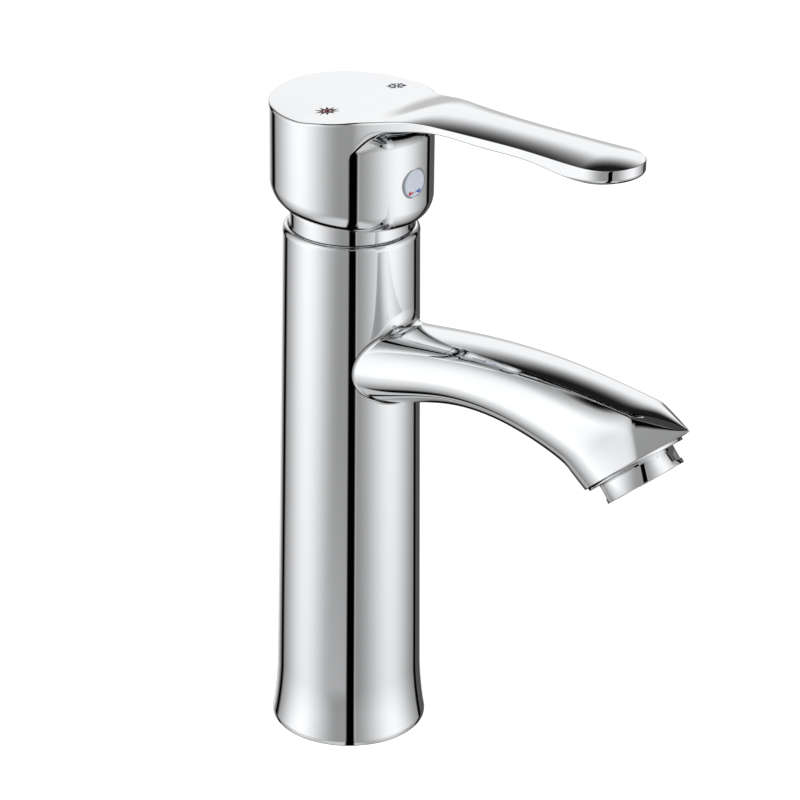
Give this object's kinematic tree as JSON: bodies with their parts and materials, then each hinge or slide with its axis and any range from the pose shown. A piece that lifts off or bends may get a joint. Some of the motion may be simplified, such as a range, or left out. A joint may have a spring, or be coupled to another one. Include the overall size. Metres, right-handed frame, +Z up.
{
  "type": "bathroom mixer faucet",
  "caption": "Single-lever basin mixer: slim chromed column with flared foot, curved beaked spout with aerator, round cap with a long lever, ceramic-disc cartridge inside.",
  "frame": {"origin": "centre of the round base, on the deck it stands on", "axes": "+Z up along the column; the spout and the lever point along -Y; hot is on the -X side, cold on the +X side"},
  "size_m": [0.05, 0.1545, 0.2176],
  "materials": {
    "chrome_body": "polished",
    "black_rubber": "matte",
    "red_rubber": "matte",
    "plain_brass": "satin",
    "alumina_disc": "polished",
    "cartridge_plastic": "satin",
    "white_plastic": "satin",
    "rotor_plastic": "satin",
    "limit_plastic": "satin",
    "steel_pin": "satin",
    "button_plastic": "gloss",
    "hot_enamel": "gloss",
    "cold_enamel": "gloss",
    "limiter_plastic": "satin"
  },
  "bodies": {
    "mixer_body": {"faucet_body": "chrome_body", "inlet_bushes": "plain_brass", "stud_bush": "plain_brass", "base_gasket": "black_rubber", "bonnet": "chrome_body", "retaining_nut": "plain_brass", "cartridge_base": "cartridge_plastic", "port_seals": "red_rubber", "disc_seals": "red_rubber", "fixed_disc": "alumina_disc", "cartridge_housing": "cartridge_plastic", "slide_ring": "white_plastic", "aerator_housing": "chrome_body", "aerator_gasket": "black_rubber", "flow_limiter": "limiter_plastic", "aerator_cage": "white_plastic", "aerator_screens": "steel_pin"},
    "rotor_carrier": {"rotor": "rotor_plastic", "limit_ring": "limit_plastic", "pivot_pin": "steel_pin"},
    "lever_handle": {"lever_stem": "plain_brass", "handle": "chrome_body", "grub_screw": "steel_pin", "index_button": "button_plastic", "hot_mark": "hot_enamel", "cold_mark": "cold_enamel"},
    "disc_slider": {"moving_disc": "alumina_disc", "disc_coupler": "white_plastic"}
  },
  "joints": [
    {"name": "temperature_turn", "type": "hinge", "parent": "mixer_body", "child": "rotor_carrier", "pos_m": [0, 0, 0.16525], "axis": [0, 0, 1], "range_deg": [-45, 45]},
    {"name": "flow_lift", "type": "hinge", "parent": "rotor_carrier", "child": "lever_handle", "pos_m": [0, 0, 0.16525], "axis": [-1, 0, 0], "range_deg": [0, 20]},
    {"name": "disc_slide", "type": "slide", "parent": "rotor_carrier", "child": "disc_slider", "axis": [0, -1, 0], "range_m": [0, 0.0039]}
  ],
  "couplings": [
    {"joint": "disc_slide", "follows": "flow_lift", "m_per_rad": 0.011}
  ]
}
